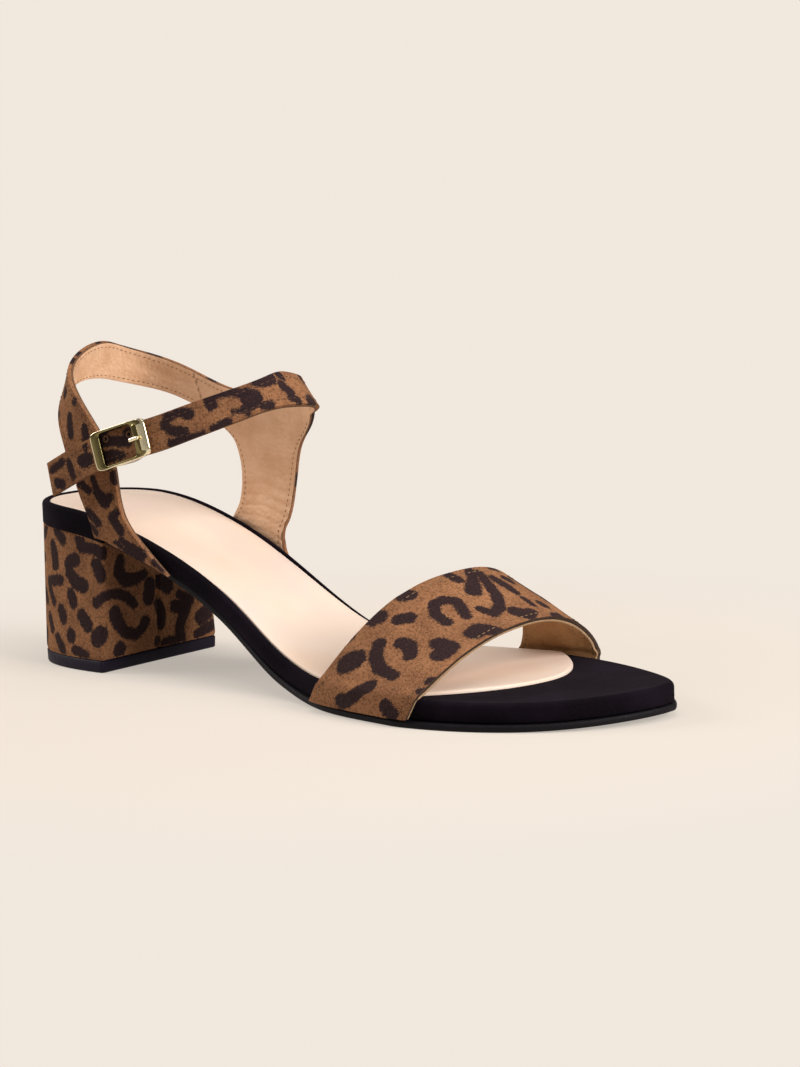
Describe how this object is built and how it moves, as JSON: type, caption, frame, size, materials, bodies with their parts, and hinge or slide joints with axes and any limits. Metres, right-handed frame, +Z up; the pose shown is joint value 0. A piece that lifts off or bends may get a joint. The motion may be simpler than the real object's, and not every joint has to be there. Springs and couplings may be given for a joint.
{
  "type": "mid heel sandal",
  "caption": "Right-foot mid heel sandal with a broad toe strap, buckled ankle strap, covered block heel and flat thin sole.",
  "frame": {"origin": "middle of the shoe's box on the floor", "axes": "+X from heel to toe, +Y to the inner side of the foot, +Z up"},
  "size_m": [0.238, 0.0864, 0.1044],
  "materials": {
    "black_rubber": "smooth matte black sole sheet and heel top piece",
    "black_suede": "black suede wrap with a short nap",
    "beige_leather": "smooth satin lining leather",
    "spotted_suede": "brown suede printed with dark spots",
    "gold_metal": "polished pale gold plating"
  },
  "bodies": {
    "root": {"outsole": "black_rubber", "footbed": "black_suede", "insole_sock": "beige_leather", "heel_block": "spotted_suede", "heel_top_piece": "black_rubber", "vamp_strap": "spotted_suede", "quarter_strap": "spotted_suede", "buckle_frame": "gold_metal", "buckle_prong": "gold_metal", "buckle_tab": "spotted_suede"}
  },
  "joints": []
}
